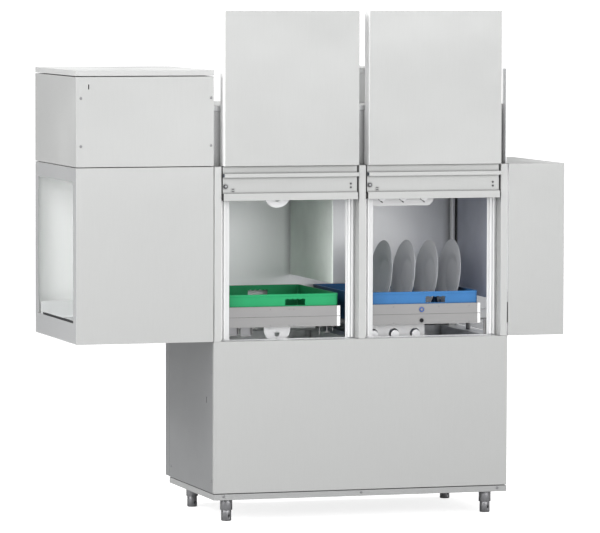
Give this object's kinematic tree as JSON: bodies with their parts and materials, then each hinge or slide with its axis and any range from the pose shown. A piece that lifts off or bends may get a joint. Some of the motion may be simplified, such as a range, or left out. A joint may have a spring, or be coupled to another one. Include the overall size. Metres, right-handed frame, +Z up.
{
  "type": "rack conveyor dishwasher",
  "caption": "Rack-conveyor dishwasher with two lift doors, entry hood with heat-recovery box, exit hood, wash and rinse zones, racks and plates.",
  "frame": {"origin": "middle of the footprint, on the floor", "axes": "+X along the racks' travel from the entry to the exit, +Y from the doors to the back, +Z up"},
  "size_m": [1.9, 0.702, 1.894],
  "materials": {
    "panel_steel": "fine brushed stainless outer panels",
    "panel_side": "fine brushed stainless side panels",
    "inner_steel": "satin stainless inside the tunnel",
    "structure_steel": "mill finish stainless structure",
    "spray_steel": "polished tube and cast end plates",
    "bright_steel": "polished steel",
    "machine_paint": "painted pump and motor castings",
    "fin_metal": "finned coil",
    "curtain_rubber": "flexible splash curtain",
    "slide_plastic": "low-friction plastic",
    "stud_plastic": "blue plastic",
    "rack_green_plastic": "green moulded polypropylene",
    "rack_blue_plastic": "blue moulded polypropylene",
    "plate_ceramic": "glazed white ceramic",
    "screw_steel": "screw heads"
  },
  "bodies": {
    "root": {"base_frame": "structure_steel", "base_tray": "panel_steel", "cabinet_front": "panel_steel", "cabinet_left": "panel_side", "cabinet_right": "panel_side", "cabinet_rear": "panel_side", "service_chase": "panel_side", "foot_sleeves": "bright_steel", "foot_stems": "bright_steel", "tunnel_deck": "inner_steel", "wash_tank": "inner_steel", "rinse_tank": "inner_steel", "strainer_trays": "inner_steel", "tank_heaters": "structure_steel", "booster_heater": "structure_steel", "electrical_box": "structure_steel", "wash_pump": "machine_paint", "pump_pipes": "spray_steel", "wash_arms": "spray_steel", "rinse_arms": "spray_steel", "spray_end_plates": "spray_steel", "rack_rails": "structure_steel", "rail_studs": "stud_plastic", "carriage_slides": "slide_plastic", "gearmotor": "machine_paint", "door_posts": "panel_steel", "front_frame": "panel_steel", "door_guides": "panel_steel", "tunnel_walls": "inner_steel", "tunnel_roof": "inner_steel", "dryer_housing": "panel_steel", "entry_hood": "panel_steel", "entry_hood_end": "panel_steel", "recovery_front": "panel_steel", "recovery_shell": "panel_steel", "recovery_cap": "panel_steel", "recovery_coil": "fin_metal", "recovery_fan": "machine_paint", "exit_hood": "panel_steel", "curtain_rods": "bright_steel", "cover_screws": "screw_steel", "service_stubs": "bright_steel"},
    "left_door": {"door_left_skin": "panel_steel", "door_left_liner": "inner_steel", "door_left_handle": "panel_steel"},
    "right_door": {"door_right_skin": "panel_steel", "door_right_liner": "inner_steel", "door_right_handle": "panel_steel"},
    "conveyor": {"carriage": "structure_steel"},
    "wash_pawls": {"pawl_wash": "structure_steel"},
    "rinse_pawls": {"pawl_rinse": "structure_steel"},
    "wash_rack": {"rack_green": "rack_green_plastic"},
    "rinse_rack": {"rack_blue": "rack_blue_plastic", "plates": "plate_ceramic"},
    "drive_crank": {"crank": "structure_steel"},
    "pump_rotor": {"wash_impeller": "structure_steel"},
    "fan_rotor": {"fan_wheel": "structure_steel"},
    "entry_flap": {"curtain_entry": "curtain_rubber"},
    "middle_flap": {"curtain_middle": "curtain_rubber"},
    "exit_flap": {"curtain_exit": "curtain_rubber"}
  },
  "joints": [
    {"name": "left_door_lift", "type": "slide", "parent": "root", "child": "left_door", "axis": [0, 0, 1], "range_m": [-0.518, 0]},
    {"name": "right_door_lift", "type": "slide", "parent": "root", "child": "right_door", "axis": [0, 0, 1], "range_m": [-0.518, 0]},
    {"name": "conveyor_stroke", "type": "slide", "parent": "root", "child": "conveyor", "axis": [1, 0, 0], "range_m": [0, 0.085]},
    {"name": "wash_rack_feed", "type": "slide", "parent": "root", "child": "wash_rack", "axis": [1, 0, 0], "range_m": [0, 0.085]},
    {"name": "rinse_rack_feed", "type": "slide", "parent": "root", "child": "rinse_rack", "axis": [1, 0, 0], "range_m": [0, 0.085]},
    {"name": "wash_pawl_tip", "type": "hinge", "parent": "conveyor", "child": "wash_pawls", "pos_m": [-0.455, -0.016, 0.7295], "axis": [0, 1, 0], "range_deg": [0, 75]},
    {"name": "rinse_pawl_tip", "type": "hinge", "parent": "conveyor", "child": "rinse_pawls", "pos_m": [0.097, -0.016, 0.7295], "axis": [0, 1, 0], "range_deg": [0, 75]},
    {"name": "crank_turn", "type": "hinge", "parent": "root", "child": "drive_crank", "pos_m": [0.679, -0.011, 0.65], "axis": [0, 0, 1], "continuous": true},
    {"name": "pump_spin", "type": "hinge", "parent": "root", "child": "pump_rotor", "pos_m": [-0.125, -0.011, 0.2], "axis": [1, 0, 0], "continuous": true},
    {"name": "fan_spin", "type": "hinge", "parent": "root", "child": "fan_rotor", "pos_m": [-0.535, -0.018, 1.488], "axis": [1, 0, 0], "continuous": true},
    {"name": "entry_flap_swing", "type": "hinge", "parent": "root", "child": "entry_flap", "pos_m": [-0.415, -0.015, 1.284], "axis": [0, 1, 0], "range_deg": [-45, 0]},
    {"name": "middle_flap_swing", "type": "hinge", "parent": "root", "child": "middle_flap", "pos_m": [0.053, -0.015, 1.284], "axis": [0, 1, 0], "range_deg": [-35, 5]},
    {"name": "exit_flap_swing", "type": "hinge", "parent": "root", "child": "exit_flap", "pos_m": [0.721, -0.015, 1.284], "axis": [0, 1, 0], "range_deg": [-60, 0]}
  ],
  "couplings": [
    {"joint": "wash_rack_feed", "follows": "conveyor_stroke", "ratio": 1},
    {"joint": "rinse_rack_feed", "follows": "conveyor_stroke", "ratio": 1}
  ]
}
